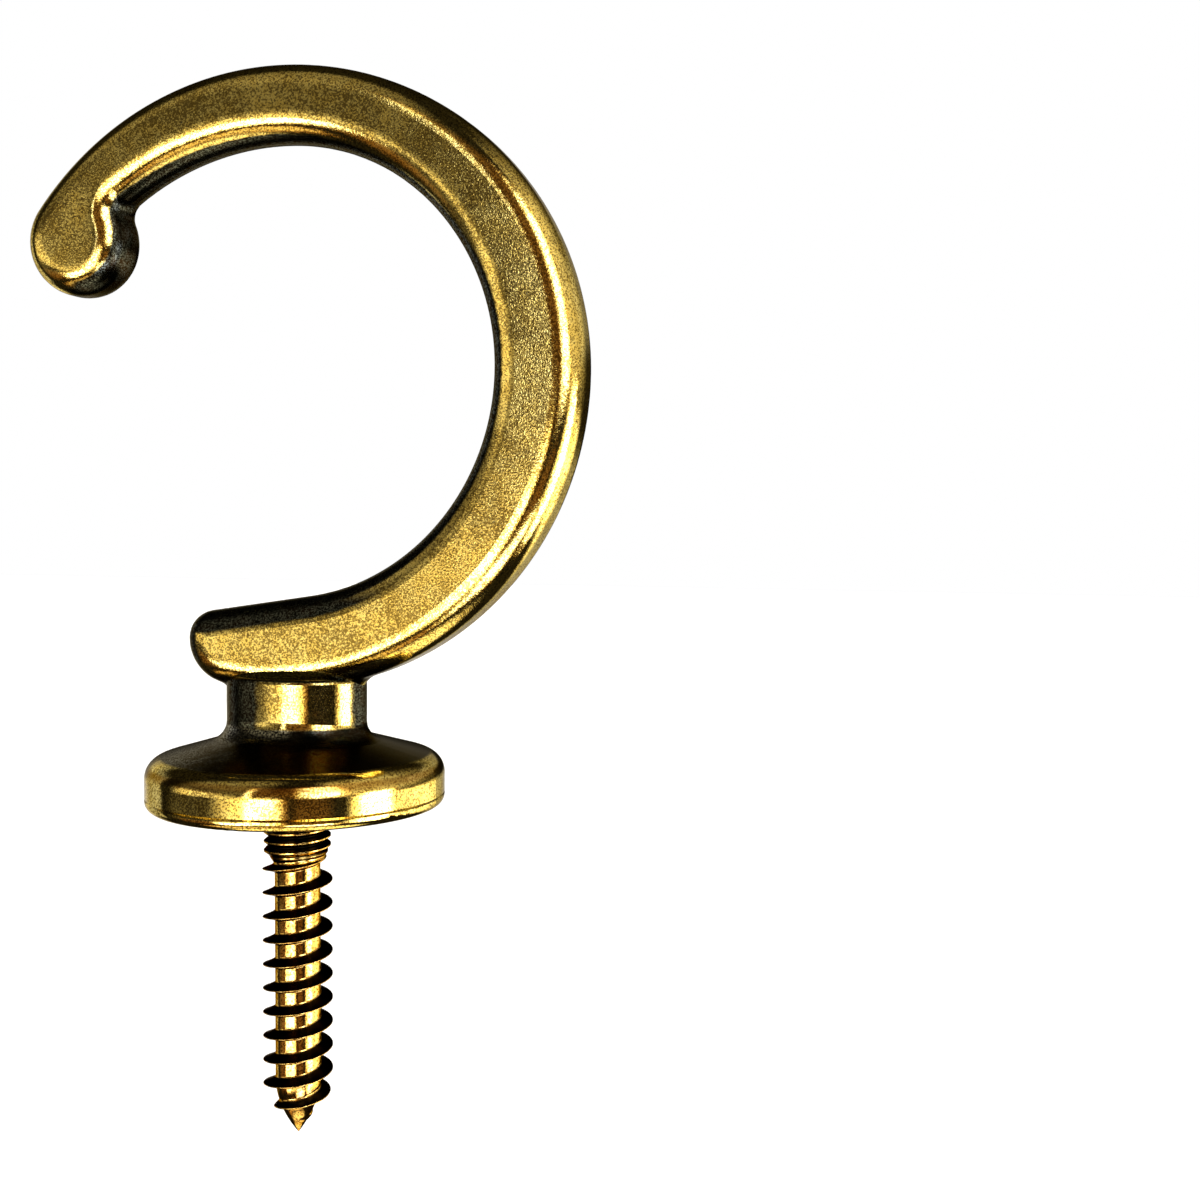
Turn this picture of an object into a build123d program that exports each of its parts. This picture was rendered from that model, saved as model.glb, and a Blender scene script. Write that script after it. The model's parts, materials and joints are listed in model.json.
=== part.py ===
from build123d import *
import os
from math import acos, atan2, cos, degrees, radians, sin, sqrt, tan

# Curtain tieback hook: a cast brass crook on a round rosette, with a dual-thread stud screwed into its back.
# Millimetres. The origin is the centre of the rosette's flat back face. +Z runs along the screw axis from
# the wall to the crook, +X points to the crook's bulge, and the crook lies in the XZ plane.

# Rosette, the round base that sits on the wall
rosette_diameter = 19.5
rosette_rim_height = 3.1       # the corner of wall and dome, before it is rounded
rosette_upper_round = 1.4
rosette_lower_round = 0.6
rosette_dome_slope = 16.0      # degrees, the shallow cone from the rim up to the neck
lip_groove_height = 0.75       # middle of the fine groove above the rounded lower lip
lip_groove_width = 0.16
lip_groove_depth = 0.08

# Neck, an oval column between the rosette and the bar
neck_width = 9.5               # along the bar
neck_depth = 7.2               # across the bar, which makes it stand a little proud of the bar's flat sides
neck_foot_round = 1.3
neck_ledge = 0.9               # height of the proud part's flat top above the bar's underside
neck_ledge_round = 0.3
neck_core_inset = 0.1          # the core's ends lie this far inside the oval's ends
neck_core_cover = 0.5          # and its sides this far inside the bar's flat sides
neck_core_sink = 1.6           # how far the core runs up into the bar
neck_blend_round = 1.2         # the fillet from the core to the bar's underside

# Bar, one flat-sided strip that makes the tail, the crook and the beak
bar_height = 7.678             # from the back face to the bar's underside on the screw axis
bar_thickness = 5.2            # at its underside
bar_draft = 1.0                # degrees, how much each flat side leans in towards the crown
draft_overrun = 1.0            # how far the drafted sides are cut past the bar's top and bottom
bar_edge_round = 1.75
bar_edge_share = 0.95          # the most of the crown's half thickness that the edge round may take
bar_width = 4.5                # mean width round the crook
throat_radius = 14.72          # inner outline
throat_offset = -0.83          # the throat's centre, to the left of the screw axis
width_growth_out = 1.38        # how far the outer circle's centre is moved towards the bulge
width_growth_up = -0.05        # and upwards, so the bar thins from its foot to its beak

# The crook opens out towards the beak, and its foot swings under more flatly than a circle
outer_open_start = 52.0        # degrees round from the bulge
outer_open_gain = 2.5          # added to the outer radius from there to the beak
inner_open_start = 88.0
inner_open_gain = 4.1
foot_flat_end = -4.0
foot_flat_gain = 1.6

# Tail, the short end that overhangs the neck
tail_reach = 7.12              # from the screw axis to the tail's end
tail_top_slope = 8.7           # degrees
tail_top_extra = 0.05          # how much rounder the tail's top corner is than the bar's edges
tail_end_flat = 0.08           # straight stretch of the tail's end between its two corner rounds

# Beak, the rounded end with a small nib turned into the throat
beak_angle = 142.8             # degrees, where the beak's round end sits
beak_round = 3.62
beak_notch_round = 0.95

# Screw stud: a machine thread that the casting takes, and a wood thread below it
stud_diameter = 4.6            # over the wood thread
stud_core_diameter = 3.0       # of the bare core between the two threads
stud_reach = 22.3              # from the rosette's back face to the point
stud_point_length = 4.0
stud_point_flat = 0.3          # diameter of the blunted tip
machine_diameter = 4.4
machine_length = 6.0           # inside the casting
machine_shown = 3.2            # below the rosette's back face
thread_gap = 0.7               # height of each cone between a thread's outside and the core
machine_chamfer = 0.5
hole_clearance = 0.03          # between the stud and the tapped hole, on the radius
hole_spare = 0.6               # hole depth past the end of the stud
drill_point_angle = 118.0


def polar(centre, radius, angle):
    """The point at an angle, in degrees, on a circle in the bar's own plane."""
    return (centre[0] + radius * cos(radians(angle)), centre[1] + radius * sin(radians(angle)))


def bearing(start, end):
    """The direction from one point to another, in degrees from 0 to 360."""
    return degrees(atan2(end[1] - start[1], end[0] - start[0])) % 360


def arc(centre, radius, start, end):
    """A circular arc between two angles, which may run either way."""
    middle = (start + end) / 2
    return ThreePointArc(
        polar(centre, radius, start), polar(centre, radius, middle), polar(centre, radius, end)
    )


def bar_outline():
    """The bar's closed outline, as tangent arcs and two short straight lines."""
    crook_radius = throat_radius + bar_width
    foot_radius = crook_radius + foot_flat_gain
    outer_open_radius = crook_radius + outer_open_gain
    inner_open_radius = throat_radius + inner_open_gain

    # The foot arc's centre sets the height: its underside meets the screw axis at bar_height.
    crook_x = throat_offset + width_growth_out
    foot_x = polar((crook_x, 0), crook_radius - foot_radius, foot_flat_end)[0]
    foot_z = bar_height + sqrt(foot_radius**2 - foot_x**2)
    foot_centre = (foot_x, foot_z)
    crook_centre = polar(foot_centre, foot_radius - crook_radius, foot_flat_end)
    throat_centre = (throat_offset, crook_centre[1] - width_growth_up)
    outer_open_centre = polar(crook_centre, crook_radius - outer_open_radius, outer_open_start)
    inner_open_centre = polar(throat_centre, throat_radius - inner_open_radius, inner_open_start)

    # Beak: a round end inside the outer arc, and a notch round that touches it and the inner arc
    beak_centre = polar(outer_open_centre, outer_open_radius - beak_round, beak_angle)
    span = sqrt(
        (beak_centre[0] - inner_open_centre[0]) ** 2 + (beak_centre[1] - inner_open_centre[1]) ** 2
    )
    to_throat = inner_open_radius - beak_notch_round
    to_beak = beak_round + beak_notch_round
    swing = degrees(acos((to_throat**2 + span**2 - to_beak**2) / (2 * to_throat * span)))
    notch_angle = bearing(inner_open_centre, beak_centre) - swing
    notch_centre = polar(inner_open_centre, to_throat, notch_angle)
    beak_end = beak_angle + (bearing(beak_centre, notch_centre) - beak_angle) % 360

    # Tail: the upper corner touches the straight top line
    tail_top_round = bar_edge_round + tail_top_extra
    top_start = polar(throat_centre, throat_radius, tail_top_slope - 90)
    upper_x = -tail_reach + tail_top_round
    inner_start = polar(top_start, tail_top_round, tail_top_slope - 90)
    upper_fall = (inner_start[0] - upper_x) * tan(radians(tail_top_slope))
    upper_corner = (upper_x, inner_start[1] - upper_fall)
    top_end = polar(upper_corner, tail_top_round, 90 + tail_top_slope)
    end_top = polar(upper_corner, tail_top_round, 180)

    # The tail's lower corner is the round that touches its end, just below the upper one, and the foot arc.
    end_out = tail_reach + foot_centre[0]
    end_drop = foot_centre[1] - upper_corner[1] + tail_end_flat
    tail_bottom_round = (foot_radius**2 - end_out**2 - end_drop**2) / (2 * (foot_radius - end_out))
    lower_corner = (-tail_reach + tail_bottom_round, upper_corner[1] - tail_end_flat)
    lower_angle = bearing(foot_centre, lower_corner)
    end_bottom = polar(lower_corner, tail_bottom_round, 180)

    return [
        arc(foot_centre, foot_radius, lower_angle - 360, foot_flat_end),
        arc(crook_centre, crook_radius, foot_flat_end, outer_open_start),
        arc(outer_open_centre, outer_open_radius, outer_open_start, beak_angle),
        arc(beak_centre, beak_round, beak_angle, beak_end),
        arc(notch_centre, beak_notch_round, beak_end - 180, notch_angle),
        arc(inner_open_centre, inner_open_radius, notch_angle, inner_open_start),
        arc(throat_centre, throat_radius, inner_open_start, tail_top_slope - 90),
        Line(top_start, top_end),
        arc(upper_corner, tail_top_round, 90 + tail_top_slope, 180),
        Line(end_top, end_bottom),
        arc(lower_corner, tail_bottom_round, 180, lower_angle),
    ]


def bar():
    """The bar: its outline given thickness, both flat sides drafted towards the crown, edges rounded."""
    outline = make_face(bar_outline())
    slab = extrude(Plane.XZ * outline, amount=bar_thickness, both=True)
    crown = slab.bounding_box().max.Z + draft_overrun
    foot = slab.bounding_box().min.Z - draft_overrun
    half_at_foot = bar_thickness / 2 + (bar_height - foot) * tan(radians(bar_draft))
    half_at_crown = bar_thickness / 2 - (crown - bar_height) * tan(radians(bar_draft))
    side_section = make_face(
        Polyline(
            (-half_at_foot, foot),
            (half_at_foot, foot),
            (half_at_crown, crown),
            (-half_at_crown, crown),
            close=True,
        )
    )
    drafted = slab & extrude(Plane.YZ * side_section, amount=2 * crown, both=True)
    flat_sides = drafted.faces().filter_by(GeomType.PLANE).sort_by(SortBy.AREA)[-2:]
    return fillet(flat_sides.edges(), min(bar_edge_round, bar_edge_share * half_at_crown))


def rosette():
    """The round base, turned about the screw axis: its wall, lip groove and dome, which rises to a cone."""
    radius = rosette_diameter / 2
    cone_top = rosette_rim_height + radius * tan(radians(rosette_dome_slope))
    half_section = FilletPolyline(
        (0, 0),
        (radius, 0),
        (radius, rosette_rim_height),
        (0, cone_top),
        radius=[rosette_lower_round, rosette_upper_round],
        close=False,
    )
    closing = Line((0, cone_top), (0, 0))
    body = revolve(Plane.XZ * make_face([half_section, closing]), axis=Axis.Z)
    groove = Polyline(
        (radius - lip_groove_depth, lip_groove_height),
        (radius + lip_groove_depth, lip_groove_height - lip_groove_width),
        (radius + lip_groove_depth, lip_groove_height + lip_groove_width),
        close=True,
    )
    return body - revolve(Plane.XZ * make_face(groove), axis=Axis.Z)


def neck():
    """The oval column, from inside the rosette up to its ledge, just over the bar's underside."""
    bottom = rosette_rim_height
    height = bar_height + neck_ledge - bottom
    column = extrude(Plane.XY.offset(bottom) * Ellipse(neck_width / 2, neck_depth / 2), amount=height)
    rim = column.edges().sort_by(Axis.Z)[-1]
    return fillet(rim, neck_ledge_round)


def neck_core():
    """The middle of the neck, which lies wholly under the bar and carries the fillets at its two ends."""
    bottom = rosette_rim_height
    half_width = neck_width / 2 - neck_core_inset
    half_depth = bar_thickness / 2 - neck_core_cover
    height = bar_height + neck_core_sink - bottom
    return extrude(Plane.XY.offset(bottom) * Ellipse(half_width, half_depth), amount=height)


def tapped_hole():
    """The blind hole for the stud's machine thread, with its drill point."""
    radius = machine_diameter / 2 + hole_clearance
    depth = machine_length + hole_spare
    point = radius / tan(radians(drill_point_angle / 2))
    half_section = Polyline(
        (0, 0),
        (radius, 0),
        (radius, depth),
        (0, depth + point),
        close=True,
    )
    return revolve(Plane.XZ * make_face(half_section), axis=Axis.Z)


def hook_casting():
    """The one-piece casting: rosette, neck and bar, blended together, with the tapped hole in its back."""
    base = rosette()
    column = neck()
    pedestal = base + column
    foot = new_edges(base, column, combined=pedestal)
    pedestal = fillet(foot, neck_foot_round)
    strip = bar()
    core = neck_core()
    crook = strip + core
    seam = new_edges(strip, core, combined=crook)
    crook = fillet(seam, neck_blend_round)
    body = pedestal + crook
    return body - tapped_hole()


def screw_stud():
    """The stud, with its threads plain: the machine end, a short bare core, and the pointed wood end."""
    radius = stud_diameter / 2
    core_radius = stud_core_diameter / 2
    machine_radius = machine_diameter / 2
    core_height = -machine_shown - thread_gap
    half_section = Polyline(
        (0, machine_length),
        (machine_radius - machine_chamfer, machine_length),
        (machine_radius, machine_length - machine_chamfer),
        (machine_radius, -machine_shown),
        (core_radius, core_height),
        (radius, core_height - thread_gap),
        (radius, stud_point_length - stud_reach),
        (stud_point_flat / 2, -stud_reach),
        (0, -stud_reach),
        close=True,
    )
    return revolve(Plane.XZ * make_face(half_section), axis=Axis.Z)


os.makedirs("parts", exist_ok=True)
export_step(hook_casting(), "parts/hook_casting.step")
export_step(screw_stud(), "parts/screw_stud.step")
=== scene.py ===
# %% [markdown]
# # A curtain tieback hook in antique brass
# The hook is one small casting, a crook on a round rosette, with a wood screw standing out of its back.
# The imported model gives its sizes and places, in metres: +Z runs along the screw towards the crook, and
# the crook lies in the XZ plane. Here each surface gets the shape and finish that show.

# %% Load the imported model
import json
import math

import bmesh
import bpy
import numpy as np
from mathutils import Matrix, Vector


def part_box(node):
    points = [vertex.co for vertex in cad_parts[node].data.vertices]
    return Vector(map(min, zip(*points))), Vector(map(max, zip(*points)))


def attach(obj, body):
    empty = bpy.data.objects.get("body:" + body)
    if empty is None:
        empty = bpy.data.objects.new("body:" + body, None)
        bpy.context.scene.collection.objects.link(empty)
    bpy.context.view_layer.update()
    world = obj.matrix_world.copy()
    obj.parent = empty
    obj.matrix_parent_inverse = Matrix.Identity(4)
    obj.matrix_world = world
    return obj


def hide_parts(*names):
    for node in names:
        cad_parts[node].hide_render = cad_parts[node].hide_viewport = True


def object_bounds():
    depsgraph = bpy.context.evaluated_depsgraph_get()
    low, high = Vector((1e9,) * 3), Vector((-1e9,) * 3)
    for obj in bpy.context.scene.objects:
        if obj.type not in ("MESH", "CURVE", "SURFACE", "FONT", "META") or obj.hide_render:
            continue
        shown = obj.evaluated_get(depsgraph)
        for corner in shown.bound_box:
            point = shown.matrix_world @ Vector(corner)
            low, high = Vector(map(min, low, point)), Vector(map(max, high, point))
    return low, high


MM = 0.001
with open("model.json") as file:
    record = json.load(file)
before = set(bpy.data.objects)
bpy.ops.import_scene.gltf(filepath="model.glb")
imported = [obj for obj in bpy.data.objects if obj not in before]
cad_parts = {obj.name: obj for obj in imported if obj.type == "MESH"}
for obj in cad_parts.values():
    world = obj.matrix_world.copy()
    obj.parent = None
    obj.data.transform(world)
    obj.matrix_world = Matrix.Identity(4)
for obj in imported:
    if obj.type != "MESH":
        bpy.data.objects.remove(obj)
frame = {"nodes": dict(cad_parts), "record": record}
casting = frame["nodes"]["hook_casting"]
record = frame["record"]


def corners(box):
    """A box's two corners as plain lists."""
    return [list(corner) for corner in box]


cad_box = corners(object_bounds())
print("CAD box, mm:", [[round(v / MM, 2) for v in corner] for corner in cad_box])

# %% [markdown]
# ## The camera
# The hook is small, so the camera stands only a hand's width away, a little above the rosette and to the
# right of the crook's plane. It aims past the hook, which leaves it in the left half of the picture. It
# could be turned by three angles, but its axes are written out as directions, which read more plainly.

# %% Place the camera
camera_spot = np.array([43.27, -90.92, 19.14]) * MM
look = np.array([-0.2413, 0.9689, -0.0554])
side = np.array([0.9702, 0.2421, 0.0073])
rise = np.cross(side, look)
axes_and_spot = np.column_stack([side, rise, -look, camera_spot])

camera_data = bpy.data.cameras.new("camera")
camera_data.sensor_width = 36.0
camera_data.lens = 44.96
camera_data.clip_start = 1 * MM
camera = bpy.data.objects.new("camera", camera_data)
camera.matrix_world = Matrix([*axes_and_spot.tolist(), [0, 0, 0, 1]])
bpy.context.scene.collection.objects.link(camera)
bpy.context.scene.camera = camera
bpy.context.scene.view_settings.view_transform = "Standard"
print("camera stands", round(float(np.linalg.norm(camera_spot)) / MM), "mm from the rosette's back")

# %% [markdown]
# ## Shader maths as Python
# A finish is a small formula over the surface. Its nodes could be added and linked by hand, one by one,
# but the formula would then be lost among them. Instead one class wraps a node's output so that formulas
# read as arithmetic.

# %% A value that does arithmetic


class Value:
    """One output socket. Arithmetic on it adds Math nodes to its tree."""

    def __init__(self, nodes, socket):
        self.nodes = nodes
        self.socket = socket

    def math(self, operation, *others):
        """A Math node on this value, with any others as its further inputs."""
        sockets = dict(enumerate((self, *others)))
        return self.nodes.add("ShaderNodeMath", {"operation": operation}, sockets)

    def __add__(self, other):
        return self.math("ADD", other)

    def __sub__(self, other):
        return self.math("SUBTRACT", other)

    def __mul__(self, other):
        return self.math("MULTIPLY", other)

    def __truediv__(self, other):
        return self.math("DIVIDE", other)

    def __rsub__(self, other):
        return self.nodes.add("ShaderNodeMath", {"operation": "SUBTRACT"}, {0: other, 1: self})

    __radd__ = __add__
    __rmul__ = __mul__

    def at_least(self, other):
        """The larger of the two."""
        return self.math("MAXIMUM", other)

    def step(self, low, high):
        """0 below low, 1 above high, and a smooth S between; the other way round if low is above high."""
        ends = {"Value": self, "From Min": low, "From Max": high, "To Min": 0.0, "To Max": 1.0}
        if low > high:
            ends.update({"From Min": high, "From Max": low, "To Min": 1.0, "To Max": 0.0})
        return self.nodes.add("ShaderNodeMapRange", {"interpolation_type": "SMOOTHSTEP"}, ends)


print("values add, subtract, multiply and divide")

# %% [markdown]
# ## Any other node
# Every other kind of node comes from one method. It sets a node's settings first, because they decide
# which sockets the node has, and then fills its sockets. A vector is split and two colours are blended so
# often that each has its own short name.

# %% A tree that grows


class Nodes:
    """A node tree that grows by add()."""

    def __init__(self, tree):
        self.tree = tree

    def add(self, kind, settings=(), sockets=(), output=0):
        """Adds a node of this type, applies its settings, then fills or links its sockets."""
        node = self.tree.nodes.new(kind)
        for name, value in dict(settings).items():
            setattr(node, name, value)
        for key, value in dict(sockets).items():
            self.plug(value, node.inputs[key])
        return Value(self, node.outputs[output]) if len(node.outputs) else node

    def plug(self, value, socket):
        """Links a Value to a socket, or sets a plain number or colour on it."""
        if isinstance(value, Value):
            self.tree.links.new(value.socket, socket)
        else:
            socket.default_value = value

    def parts(self, vector):
        """A vector's three numbers."""
        first = self.add("ShaderNodeSeparateXYZ", {}, {0: vector})
        return [Value(self, output) for output in first.socket.node.outputs]

    def blend(self, share, first, second):
        """The first colour where share is 0, the second where it is 1."""
        settings = {"data_type": "RGBA", "clamp_factor": True}
        return self.add("ShaderNodeMix", settings, {"Factor": share, 6: first, 7: second}, output=2)


print("a tree adds, plugs, parts and blends")

# %% [markdown]
# ## The studio
# Polished metal shows the room it stands in, so the room comes before the metal. It is a world made of
# soft-edged panels. Lamps and cards standing round the hook would do as well, but directions alone render
# with less noise and are quicker to change. Each panel is placed by two angles in degrees: its turn, which
# is 0 straight in front of the hook and grows to the right, and its height above the horizon. Only
# reflections show them. The camera itself meets plain white behind the object.

# %% Directions in the room
world = bpy.data.worlds.new("studio")
bpy.context.scene.world = world
world.use_nodes = True
world.node_tree.nodes.clear()
room = Nodes(world.node_tree)
east, north, up = room.parts(room.add("ShaderNodeTexCoord", output="Generated"))
turn = east.math("ARCTAN2", north * -1.0) * (180 / math.pi)
height = up.math("ARCSINE") * (180 / math.pi)
turn_either_way = turn.math("ABSOLUTE")


def panel(left, right, bottom, top, brightness):
    """A panel of light. Each side is a pair of angles in degrees, over which it fades in: (dark, full)."""
    across = turn.step(*left) * turn.step(*right)
    upwards = height.step(*bottom) * height.step(*top)
    return across * upwards * brightness


print("directions take", len(world.node_tree.nodes), "nodes")

# %% [markdown]
# ## Bright panels
# Windows and lamps make the white bands on the metal, so they are the bright panels. The dark gaps between
# them matter as much, because a polished edge reads as metal only where light and dark meet. One big soft
# lamp would leave no such gaps, so there are ten panels, each with its own edges.

# %% Bright panels
window = panel((-20, -8), (20, -2), (-34, -24), (3, -6), 5.5)
window_edge = panel((-15, -13), (-8, -12), (-1, 2), (50, 30), 4.0)
amber_gap = panel((-14, -6), (44, 18), (-2, 8), (54, 36), 0.18)
amber_left = panel((-85, -60), (-24, -36), (-36, -28), (-13, -17), 0.2)
amber_skirt = panel((18, 30), (56, 42), (-36, -30), (-9, -12), 0.22)
apron = panel((-44, -34), (-8, -18), (-38, -29), (-13, -20), 6.0)
right_window = panel((20, 40), (68, 46), (-3, 4), (52, 40), 6.0)
right_skirt = panel((8, 24), (66, 50), (-54, -44), (-25, -33), 5.0)
right_strip = panel((66, 83), (108, 93), (-44, -34), (5, -3), 7.0)
table = panel((-80, -60), (20, -10), (-63, -56), (-43, -49), 1.3)
lamps = (
    window + window_edge + amber_gap + amber_left + amber_skirt
    + apron + right_window + right_skirt + right_strip + table
)
print("ten bright panels")

# %% [markdown]
# ## Glows
# The flat face and the hollows look into dimmer parts of the room, which give them their gold. An even grey
# room would make brass look like paint, so each glow has its own place and strength.

# %% Dim glows
front_glow = panel((-46, -16), (16, 6), (-38, -30), (6.5, -7), 2.1)
inner_glow = panel((-84, -66), (-22, -46), (-8, -2), (15, 7), 1.3)
top_glow = panel((-80, -55), (10, -14), (22, 38), (86, 70), 0.22)
low_left_glow = panel((-90, -75), (-28, -40), (-24, -16), (-3, -8), 0.10)
low_right_glow = panel((62, 70), (170, 140), (-36, -28), (-2, -9), 2.0)
deep_right_glow = panel((58, 68), (160, 110), (-36, -28), (-13, -17), 2.0)
right_glow = panel((44, 60), (175, 75), (-6, 5), (75, 45), 1.0)
left_glow = panel((-82, -66), (-12, -20), (-6, 2), (66, 26), 0.20)
from_below = height.step(-60, -70) * 2.0
darkest = 0.02
glows = (
    front_glow + inner_glow + top_glow + low_left_glow + low_right_glow
    + deep_right_glow + right_glow + left_glow + from_below + darkest
)
print("nine glows")

# %% [markdown]
# ## The room behind
# The far half of the room shows on the dome, on the black inner wall and along the far edges. It is two
# pale bands with a dark one between them, and a side wall. The bands lie on both sides of straight behind,
# so they are given by how far they are turned either way.

# %% The room behind
side_wall = panel((-150, -125), (-94, -99), (-30, -20), (30, 10), 0.8)
low_backdrop = turn_either_way.step(118, 130) * height.step(-34, -26) * height.step(-4, -9) * 0.8
backdrop = turn_either_way.step(112, 130) * height.step(6, 12) * height.step(30, 22) * 0.5
behind = side_wall + low_backdrop + backdrop
print("three panels behind")

# %% [markdown]
# ## The room's colour
# A faint lamp shows amber in brass and a strong one white, so green and blue grow with a lamp's
# brightness. The glows are warm, and the room behind is close to neutral.

# %% Colour the room
faint_green = 0.45
faint_blue = 0.10
full_green_at = 2.5
full_blue_at = 4.0
glow_green = 0.85
glow_blue = 0.50
behind_green = 0.97
behind_blue = 0.90
green_share = faint_green + (1 - faint_green) * lamps.step(0.0, full_green_at)
blue_share = faint_blue + (1 - faint_blue) * lamps.step(0.0, full_blue_at)
room_red = glows + lamps + behind
room_green = glows * glow_green + lamps * green_share + behind * behind_green
room_blue = glows * glow_blue + lamps * blue_share + behind * behind_blue
room_light = room.add("ShaderNodeCombineXYZ", {}, {0: room_red, 1: room_green, 2: room_blue})
seen = room.add("ShaderNodeLightPath", output="Is Camera Ray")
shown = room.blend(seen, room_light, (1.0, 1.0, 1.0, 1.0))
sky = room.add("ShaderNodeBackground", {}, {"Color": shown, "Strength": 1.0})
room.add("ShaderNodeOutputWorld", {}, {"Surface": sky})
print("room built of", len(world.node_tree.nodes), "nodes")

# %% [markdown]
# ## The floor
# A pale sheet lies well below the screw's point, as a sweep of paper does under a small product. The white
# background would do without it, but a sheet is there for any shadow to fall on. It doesn't show in the
# metal, whose reflections are the room's alone.

# %% Lay the floor
floor_drop = 60 * MM
floor_half = 2.0
floor_height = cad_box[0][2] - floor_drop
floor_corners = np.array([[-1, -1, 0], [1, -1, 0], [1, 1, 0], [-1, 1, 0]]) * floor_half
floor_corners[:, 2] = floor_height
floor_mesh = bpy.data.meshes.new("floor")
floor_mesh.from_pydata(floor_corners, [], [(0, 1, 2, 3)])
floor = bpy.data.objects.new("floor", floor_mesh)
bpy.context.scene.collection.objects.link(floor)
floor.visible_glossy = False
pale = bpy.data.materials.new("pale_floor")
pale.use_nodes = True
pale.node_tree.nodes["Principled BSDF"].inputs["Base Color"].default_value = (0.9, 0.9, 0.9, 1)
floor_mesh.materials.append(pale)
print("floor lies", round(floor_drop / MM), "mm below the screw's point")

# %% [markdown]
# ## The floor's lamp
# A sun lights the whole sheet evenly, where a lamp near by would leave a bright patch. This one is made
# very wide, so that the hook's shadow melts away, and like the sheet it is kept out of reflections.

# %% Light the floor
lamp_data = bpy.data.lights.new("overhead", "SUN")
lamp_data.energy = 3.9
lamp_data.angle = math.radians(80)
lamp = bpy.data.objects.new("overhead", lamp_data)
bpy.context.scene.collection.objects.link(lamp)
lamp.visible_glossy = False
print("overhead lamp", round(math.degrees(lamp_data.angle)), "degrees wide")

# %% [markdown]
# ## The screw stud
# The real stud is one brass pin. A fine machine thread on its top half screws into the casting, a plain
# cone joins it to a coarse wood thread, and the end tapers to a point. The threads could be cut out of a
# rod, but one helical strip makes both of them at once, because each turn can share its edge with the
# next. Heights are in millimetres from the rosette's back face, and a pair of heights says where a change
# starts and where it is full.

# %% The stud's sizes
stud_low, stud_high = (np.array(corner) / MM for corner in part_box("screw_stud"))
stud_top = stud_high[2]
stud_tip = stud_low[2]
wood_radius = stud_high[0]
fine_radius = 2.2
fine_root = 1.86
wood_root = 1.5
fine_pitch = 0.62
wood_pitch = 1.605
pitch_change = 0.72
first_crest = -3.06
crest_bearing = math.radians(-155.6)

cone = (-3.3, -4.1)
fine_end = (-3.5, -3.1)
fin_start = (-3.3, -4.3)
fin_end = (-21.8, -19.2)
fine_half_width = 0.45
fine_trim = 1.15
fin_reach_above = 0.42
fin_reach_below = 0.30
fin_crest = 0.03
fin_hollow = 1.25
point_length = 4.3
point_bulge = 1.2
top_chamfer = 0.5
print("stud runs from", round(stud_tip, 2), "to", round(stud_top, 2), "mm")

# %% [markdown]
# ## The thread's path and section
# A thread is a profile carried along a helix. The path says how high the crest is after so many turns, and
# the section says how far the surface stands from the axis at each height near a crest. Both are plain
# functions, so the fine thread can turn into the coarse one without a seam.


# %% The helix and the section of its thread
def height_at(turns):
    """Height of the crest after so many turns. It falls by the fine pitch a turn up to turn 0 and by the
    wood pitch a turn once the pitch has changed, and the pitch grows evenly in between."""
    growing = np.clip(turns, 0, pitch_change)
    later = np.maximum(turns - pitch_change, 0)
    gained = (wood_pitch - fine_pitch) * (growing**2 / (2 * pitch_change) + later)
    return first_crest - fine_pitch * turns - gained


def ease(value, low, high):
    """0 at low, 1 at high, and a smooth S between them."""
    share = np.clip((value - low) / (high - low), 0, 1)
    return share * share * (3 - 2 * share)


def stud_radius(z, below, pitch):
    """Radius at height z, at a distance below the nearest crest (above it, if negative). The core is the
    fine root, a cone, the wood root and then a rounded taper. A fine crest is a wide V. A wood crest is a
    thin fin with hollow flanks, steeper underneath, whose height fades out at the cone and towards the
    point."""
    core = fine_root + (wood_root - fine_root) * ease(z, *cone)
    left = np.clip((z - stud_tip) / point_length, 0, 1)
    core = core * np.minimum(left * (1 + point_bulge * (1 - left)), 1)
    away = np.abs(below)
    fine = np.clip(fine_trim - away / (fine_half_width * pitch), 0, 1) * ease(z, *fine_end)
    reach = np.where(below < 0, fin_reach_above, fin_reach_below)
    fin = np.clip((reach - away) / (reach - fin_crest), 0, 1) ** fin_hollow
    fin_height = (wood_radius - wood_root) * ease(z, *fin_start) * ease(z, *fin_end)
    radius = core + (fine_radius - fine_root) * fine + fin_height * fin
    return np.minimum(radius, fine_radius - top_chamfer + stud_top - z)


print("crests one turn apart:", np.round(height_at(np.array([-1, 0, 1, 2, 3])), 2))

# %% [markdown]
# ## The helical strip
# The strip has one row for each step down the profile and one column for each step round the axis, and
# its rows crowd round the crest, where the section is sharp. After one full turn the surface has come down
# by one pitch, so the last column joins the first column of the row one turn further on. Where the strip
# runs past either end of the stud it is pressed flat, and the doubled points are merged later.

# %% Points of the strip
columns = 96
rows_a_turn = 30
crowding = 1.5
first_turn = -17
last_turn = 14
profile_share = np.linspace(-1, 1, rows_a_turn + 1)[1:]
from_crest = 0.5 * np.sign(profile_share) * np.abs(profile_share) ** crowding
crests = np.repeat(np.arange(first_turn, last_turn), rows_a_turn)
offset = np.tile(from_crest, last_turn - first_turn)
round_share = np.arange(columns) / columns
crest_turn = crests[:, None] + round_share
crest_z = height_at(crest_turn)
free_z = height_at(crest_turn + offset[:, None])
pitch_here = height_at(crest_turn - 0.5) - height_at(crest_turn + 0.5)
z = np.clip(free_z, stud_tip, stud_top)
radius = stud_radius(z, crest_z - free_z, pitch_here) * (z > stud_tip)
angle = crest_bearing - 2 * math.pi * round_share
spots = np.stack([radius * np.cos(angle), radius * np.sin(angle), z], axis=2).reshape(-1, 3) * MM
print("strip of", len(crests), "rows and", columns, "columns")

# %% [markdown]
# ## The strip's faces
# Each face joins four neighbouring points. They are found by numbers alone, as whole arrays: a step to the
# next column, a step to the next row, and at the last column a jump of one turn.

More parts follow.
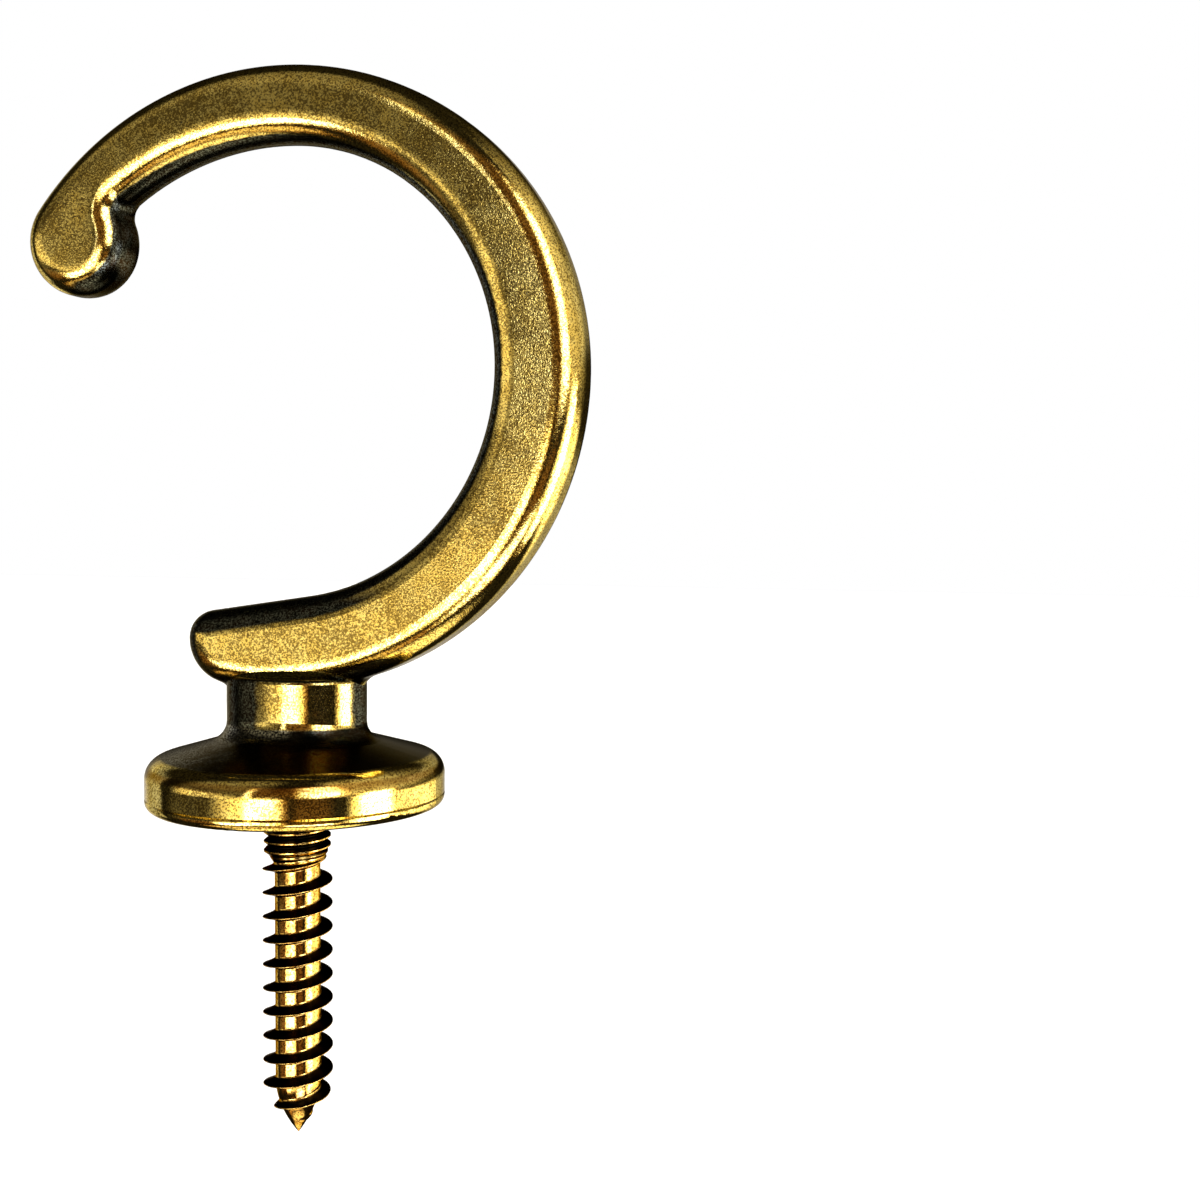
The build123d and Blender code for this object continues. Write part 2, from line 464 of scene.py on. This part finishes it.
# %% Faces of the strip
rows = len(crests)
row, column = np.meshgrid(np.arange(rows - rows_a_turn - 1), np.arange(columns), indexing="ij")
following = (column + 1) % columns
one_turn_on = np.where(following == 0, rows_a_turn, 0)
quads = np.stack(
    [
        row * columns + column,
        (row + one_turn_on) * columns + following,
        (row + 1 + one_turn_on) * columns + following,
        (row + 1) * columns + column,
    ],
    axis=2,
).reshape(-1, 4)
print("strip of", len(quads), "faces")

# %% [markdown]
# ## A closed piece
# A finished piece has no doubled points and no open rim, so that it has an inside and an outside. The top
# could be given its own ring of faces, but filling the open rim is simpler and always fits. That cap stays
# flat shaded, and everything else is smooth.


# %% Finish the stud
def finished(name, points, faces, join=0.5e-3 * MM, smooth_up_to=8):
    """A mesh object from arrays of points and faces: doubles merged, open rims capped, and every face with
    no more corners than smooth_up_to shaded smooth."""
    mesh = bpy.data.meshes.new(name)
    mesh.from_pydata(points, [], faces.tolist())
    build = bmesh.new()
    build.from_mesh(mesh)
    bmesh.ops.remove_doubles(build, verts=build.verts, dist=join)
    bmesh.ops.dissolve_degenerate(build, edges=build.edges, dist=join / 10)
    bmesh.ops.holes_fill(build, edges=build.edges, sides=0)
    bmesh.ops.recalc_face_normals(build, faces=build.faces)
    volume = build.calc_volume() / MM**3
    build.to_mesh(mesh)
    build.free()
    face_sizes = np.zeros(len(mesh.polygons), dtype=np.int32)
    mesh.polygons.foreach_get("loop_total", face_sizes)
    mesh.polygons.foreach_set("use_smooth", face_sizes <= smooth_up_to)
    edge_of_corner = np.zeros(len(mesh.loops), dtype=np.int32)
    mesh.loops.foreach_get("edge_index", edge_of_corner)
    open_edges = int(np.sum(np.bincount(edge_of_corner, minlength=len(mesh.edges)) != 2))
    print(name, len(face_sizes), "faces,", open_edges, "open edges,", round(volume, 1), "mm3")
    piece = bpy.data.objects.new(name, mesh)
    bpy.context.scene.collection.objects.link(piece)
    return piece


threaded_stud = finished("threaded_stud", spots, quads)
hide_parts("screw_stud")
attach(threaded_stud, "root")

# %% [markdown]
# ## What a finish follows
# A worn finish could be painted on by hand, but it follows the shape, so a formula can follow it too: how
# high a point lies, how far it is from the screw's axis, and which way it faces, with noise so that no
# border is clean. Both metals read the same few facts about a point, so these come first.

# %% A point on the metal


class Spot:
    """A point on a piece: its place in millimetres, the way it faces, how far it is from the screw's axis
    (the root of x squared and y squared), and noise round it."""

    def __init__(self, finish):
        self.finish = finish
        metres = finish.add("ShaderNodeTexCoord", output="Object")
        to_millimetres = {0: metres, "Scale": 1 / MM}
        self.place = finish.add("ShaderNodeVectorMath", {"operation": "SCALE"}, to_millimetres)
        self.x, self.y, self.z = finish.parts(self.place)
        normal = finish.add("ShaderNodeNewGeometry", output="Normal")
        self.facing_x, self.facing_y, self.facing_z = finish.parts(normal)
        self.from_axis = (self.x * self.x + self.y * self.y).math("SQRT")

    def noise(self, scale, detail, roughness=0.5):
        """Noise round 0.5, with about this many lumps to a millimetre."""
        sockets = {"Vector": self.place, "Scale": scale, "Detail": detail, "Roughness": roughness}
        return self.finish.add("ShaderNodeTexNoise", {}, sockets)


print("a spot knows its place, its facing and its noise")

# %% [markdown]
# ## A metal
# Bare metal is one shader with its Metallic set to 1, whose colour is the colour of what it reflects. Only
# colour, roughness and a shallow relief change over the surface. The edge tint dims what is reflected at a
# slant, as a thin film of tarnish does.


# %% A metal from its formula
def metal(name, edge_tint, colour_and_surface):
    """A metal whose colour, roughness, relief and relief depth in millimetres a function works out."""
    material = bpy.data.materials.new(name)
    material.use_nodes = True
    finish = Nodes(material.node_tree)
    shader = material.node_tree.nodes["Principled BSDF"]
    shader.inputs["Metallic"].default_value = 1.0
    shader.inputs["Specular Tint"].default_value = edge_tint
    colour, roughness, relief, depth = colour_and_surface(finish, Spot(finish))
    bump = finish.add("ShaderNodeBump", {}, {"Height": relief, "Strength": 1.0, "Distance": depth * MM})
    finish.plug(colour, shader.inputs["Base Color"])
    finish.plug(roughness, shader.inputs["Roughness"])
    finish.plug(bump, shader.inputs["Normal"])
    print(name, "is", len(material.node_tree.nodes), "nodes")
    return material


print("a metal takes a name, a tint and a formula")

# %% [markdown]
# ## Antique brass: what stays black
# The casting is blackened all over and then buffed on a wheel. The wheel reaches the faces, the edges and
# the outside of the crook. It misses the inside of the crook, the nib, the top and end of the tail, the
# rosette's dome and the neck's sides. The bar's underside above the neck is black too, partly as the old
# black and partly as painted shade where the bar shades the neck. Each zone has a place, given by heights
# and distances in millimetres as pairs: where the zone starts and where it is full.

# %% Where the zones lie
throat = next(mount for mount in record["mounts"] if mount["name"] == "throat")
throat_x = throat["pos_m"][0] / MM - throat["dims"]["r_mm"]
throat_z = throat["pos_m"][2] / MM

crook_above = (7.6, 8.6)
nib_left_of = (-8.2, -9.6)
nib_below = (41.0, 40.0)
tail_above = (8.0, 8.8)
tail_below = (15.0, 13.5)
tail_end_left_of = (-4.5, -5.5)
dome_above = (2.8, 3.0)
dome_below = (5.5, 5.3)
dome_within = (8.95, 8.65)
neck_above = (5.0, 5.4)
neck_below = (9.0, 8.8)
neck_within = (5.6, 5.0)
underside_above = (5.0, 5.6)
underside_below = (10.0, 9.0)
print("throat centre, mm:", round(throat_x, 2), round(throat_z, 2))

# %% [markdown]
# ## Antique brass: which way a zone faces
# Inside its place, a zone is marked by how squarely the surface faces one way: 1 is straight towards it
# and 0 is edge on. Most are pairs again, so that the buff's edge is soft.

# %% How the zones face
crown_to_side = (-0.95, -0.25)
flat_at_crown = 0.62
flatter_below = 0.24
back_counts = 0.7
wall_fade = (0.04, -0.04)
facing_inward = (0.15, 0.35)
nib_flatness = (0.66, 0.58)
nib_right = 0.9
nib_down = 0.43
facing_nib = (0.1, 0.35)
facing_tail_top = (0.12, 0.24)
facing_tail_end = (-0.25, -0.5)
facing_neck_left = (-0.06, -0.24)
facing_neck_right = (0.86, 0.94)
facing_down = (-0.45, -0.75)
gold_up_to = math.degrees(math.acos(flat_at_crown))
print("at the crown, gold reaches faces turned", round(gold_up_to), "degrees from the front")

# %% [markdown]
# ## Antique brass: the masks
# A mask is a number from 0 to 1 over the surface. Masks are multiplied where both must hold, and the larger
# of two is taken where either will do. Each border takes its own share of the raggedness.


# %% The black zones
def black_zones(spot, ragged):
    """Masks from 0 to 1 of what stays black, with the painted shade under the bar among it: all of it, and
    the nib, the tail and the dome alone.
    """
    out_x = spot.x - throat_x
    out_z = spot.z - throat_z
    reach = (out_x * out_x + out_z * out_z).math("SQRT")
    inward = (spot.facing_x * out_x + spot.facing_z * out_z) / reach * -1.0
    below_crown = (out_z / reach * -1.0).step(*crown_to_side)

    # A face must be flatter than a limit to stay gold. The limit is lowest at the crown, so the buff curls
    # furthest round the edge there, and facing back counts for less than facing forward.
    flatness = (spot.facing_y * -1.0).at_least(spot.facing_y * back_counts) + ragged * 0.2
    wall = (flatness - (below_crown * flatter_below + flat_at_crown)).step(*wall_fade)

    nib_place = spot.x.step(*nib_left_of) * spot.z.step(*nib_below)
    nib_facing = (spot.facing_x * nib_right - spot.facing_z * nib_down).step(*facing_nib)
    nib = nib_place * flatness.step(*nib_flatness) * nib_facing
    inner_wall = spot.z.step(*crook_above) * (wall * inward.step(*facing_inward)).at_least(nib)

    tail = spot.z.step(*tail_below) * spot.z.step(*tail_above)
    tail_top = tail * (spot.facing_z + ragged * 0.3).step(*facing_tail_top)
    tail_left = (spot.facing_x + ragged * 0.5).step(*facing_tail_end)
    tail_end = tail * tail_left * spot.x.step(*tail_end_left_of)

    dome_place = (spot.from_axis + ragged * 0.8).step(*dome_within)
    dome = spot.z.step(*dome_above) * dome_place * (spot.z + ragged * 0.5).step(*dome_below)

    neck_place = (spot.from_axis + ragged).step(*neck_within)
    neck = spot.z.step(*neck_above) * spot.z.step(*neck_below) * neck_place
    neck_left = (spot.facing_x + ragged * 0.5).step(*facing_neck_left)
    neck_right = (spot.facing_x + ragged * 0.3).step(*facing_neck_right)
    neck_sides = neck * neck_left.at_least(neck_right)

    # Painted shade: faces turned down under the bar, above the neck, are black partly as the old black and
    # partly as painted shade.
    downward = spot.facing_z.step(*facing_down)
    underside = downward * spot.z.step(*underside_below) * spot.z.step(*underside_above)

    unbuffed_and_painted_shade = inner_wall.at_least(tail_top).at_least(tail_end).at_least(dome)
    return unbuffed_and_painted_shade.at_least(neck_sides).at_least(underside), nib, tail, dome


print("masks for the inner wall, nib, tail, dome, neck and underside")

# %% [markdown]
# ## Antique brass: the gold
# Buffed gold keeps fine dark specks of the old black, because the metal is full of tiny hollows that the
# wheel passes over. The specks are noise cut off at a level, and the level is moved: fewer on the rounded
# edges, where the wheel presses hardest, and more towards the tail's end.

# %% The buffed gold
gold_deep = (0.94, 0.72, 0.22, 1)
gold_pale = (1.0, 0.82, 0.31, 1)
gold_shades = (0.35, 0.65)
speck_brown = (0.11, 0.062, 0.008, 1)
speck_noise = (0.56, 0.46)
speck_cover = 0.85
stain_weight = 0.22
rounded_edge = (0.99, 0.90)
fewer_on_edges = 0.030
more_on_faces = 0.012
tail_dingy_left_of = (-5.5, -8.5)
more_on_tail = 0.28
shoulder_brown = (0.22, 0.09, 0.008, 1)
shoulder_cover = 0.65
shoulder_above = (2.2, 2.6)
shoulder_below = (2.95, 2.75)
shoulder_beyond = (8.6, 8.8)


def buffed_gold(finish, spot, cloud, grain, tail):
    """Gold in two shades, with dark specks and a browner shoulder round the rosette's rim."""
    stain = spot.noise(0.35, 3.0)
    dingy = tail * spot.x.step(*tail_dingy_left_of) * more_on_tail
    on_an_edge = spot.facing_y.math("ABSOLUTE").step(*rounded_edge)
    well_buffed = on_an_edge * fewer_on_edges - more_on_faces
    specks = (grain + (stain - 0.5) * stain_weight - dingy + well_buffed).step(*speck_noise)
    shoulder_place = spot.z.step(*shoulder_above) * spot.z.step(*shoulder_below)
    shoulder = shoulder_place * spot.from_axis.step(*shoulder_beyond)
    gold = finish.blend(cloud.step(*gold_shades), gold_deep, gold_pale)
    gold = finish.blend(specks * speck_cover, gold, speck_brown)
    return finish.blend(shoulder * shoulder_cover, gold, shoulder_brown)


print("pale gold has red, green and blue", gold_pale[:3])

# %% [markdown]
# ## Antique brass: the black
# The black is a thin skin of tarnish, and it isn't even, so a grey patina lies over two shades of black.
# On the left of the dome a paler grey is painted on top of it, a painted sheen.

# %% The old black and a painted sheen
black_cold = (0.006, 0.006, 0.005, 1)
black_warm = (0.014, 0.009, 0.005, 1)
black_shades = (0.4, 0.6)
patina_grey = (0.12, 0.135, 0.13, 1)
patina_noise = (0.46, 0.62)
less_on_dome = 0.8
less_on_nib = 0.6
# A painted sheen: the paler grey painted on the dome's left.
painted_sheen_grey = (0.40, 0.40, 0.36, 1)
painted_sheen_noise = (0.45, 0.60)
facing_painted_sheen = (-0.15, -0.35)


def old_black_and_painted_sheen(finish, spot, cloud, ragged, grain, nib, dome):
    """Black in two shades, with a grey patina that is weaker on the nib and the dome, and a painted sheen
    of paler grey on the dome's left.
    """
    patina = grain.step(*patina_noise) * (1.0 - dome * less_on_dome - nib * less_on_nib)
    # Painted sheen: the dome's faces turned left are painted a paler grey.
    on_the_left = (spot.facing_x + spot.facing_y * 0.5 + ragged).step(*facing_painted_sheen)
    painted_sheen = dome * on_the_left * grain.step(*painted_sheen_noise)
    black = finish.blend(cloud.step(*black_shades), black_cold, black_warm)
    black = finish.blend(patina, black, patina_grey)
    return finish.blend(painted_sheen, black, painted_sheen_grey)


print("cold black has red, green and blue", black_cold[:3])

# %% [markdown]
# ## Antique brass: the whole finish
# The masks choose between the gold and the black, and scattered pits are black wherever they lie. The black
# is a little rougher than the gold. A very shallow grain breaks up the shine of the crook, and is weaker on
# the rosette and the neck, which are smoother.

# %% Antique brass
pit_noise = (0.37, 0.33)
pit_cover = 0.8
ragged_by = 0.25
gold_roughness = 0.09
black_rougher_by = 0.14
grain_depth = 0.006
grain_on_rosette = 0.3
grained_above = (8.0, 9.0)


def antique_brass(finish, spot):
    """Gold where the buff reaches and black where it doesn't or where a pit holds the black."""
    cloud = spot.noise(1.1, 4.0)
    grain = spot.noise(8.5, 3.0, 0.75)
    tooth = spot.noise(11.0, 1.0, 0.6)
    pits = spot.noise(2.6, 5.0, 0.75).step(*pit_noise) * pit_cover
    ragged = (cloud - 0.5) * ragged_by
    unbuffed_and_painted_shade, nib, tail, dome = black_zones(spot, ragged)
    dark = unbuffed_and_painted_shade.at_least(pits)
    gold = buffed_gold(finish, spot, cloud, grain, tail)
    black = old_black_and_painted_sheen(finish, spot, cloud, ragged, grain, nib, dome)
    roughness = gold_roughness + dark * black_rougher_by
    relief = tooth * (grain_on_rosette + (1 - grain_on_rosette) * spot.z.step(*grained_above))
    return finish.blend(dark, gold, black), roughness, relief, grain_depth


casting.data.materials.clear()
casting.data.materials.append(metal("antique_brass", (0.50, 0.46, 0.38, 1), antique_brass))

# %% [markdown]
# ## Rolled brass
# The stud's threads are rolled and never buffed. The roots are bright yellow brass with brown spots. The
# threads' upper flanks and the grooves of the fine thread are painted black, partly as the old black and
# partly as painted shade, and more of the fine thread beside the rosette is black, so each turn reads as a
# dark line round a bright core. The way a flank faces marks it better than its place would, because the
# helix moves the place with every turn.

# %% Rolled brass
root_deep = (0.62, 0.36, 0.10, 1)
root_pale = (0.86, 0.60, 0.20, 1)
root_brown = (0.22, 0.12, 0.03, 1)
brown_noise = (0.52, 0.38)
# The flanks' black is the old black together with painted shade.
flank_black_and_painted_shade = (0.006, 0.005, 0.004, 1)
facing_up = (0.45, 0.75)
fine_thread_above = (-3.4, -3.0)
fine_thread_darker_by = 0.35
groove_above = (-3.5, -3.1)
groove_within = (2.08, 1.98)
root_roughness = 0.08
flank_rougher_by = 0.16
rolled_depth = 0.005


def rolled_brass(finish, spot):
    """Bright on the roots, and black on the flanks that face up and in the fine thread's grooves, the old
    black together with painted shade.
    """
    cloud = spot.noise(1.6, 4.0)
    grain = spot.noise(7.0, 2.0, 0.6)
    # Painted shade: on the fine thread beside the rosette, more of each flank turns black.
    on_fine_thread = spot.z.step(*fine_thread_above) * fine_thread_darker_by
    upward = (spot.facing_z + (cloud - 0.5) * 0.3 + on_fine_thread).step(*facing_up)
    groove = spot.z.step(*groove_above) * spot.from_axis.step(*groove_within)
    flank = upward.at_least(groove)
    gold = finish.blend(cloud.step(*gold_shades), root_deep, root_pale)
    gold = finish.blend(grain.step(*brown_noise), gold, root_brown)
    roughness = root_roughness + flank * flank_rougher_by
    return finish.blend(flank, gold, flank_black_and_painted_shade), roughness, grain, rolled_depth


threaded_stud.data.materials.append(metal("rolled_brass", (0.30, 0.20, 0.08, 1), rolled_brass))
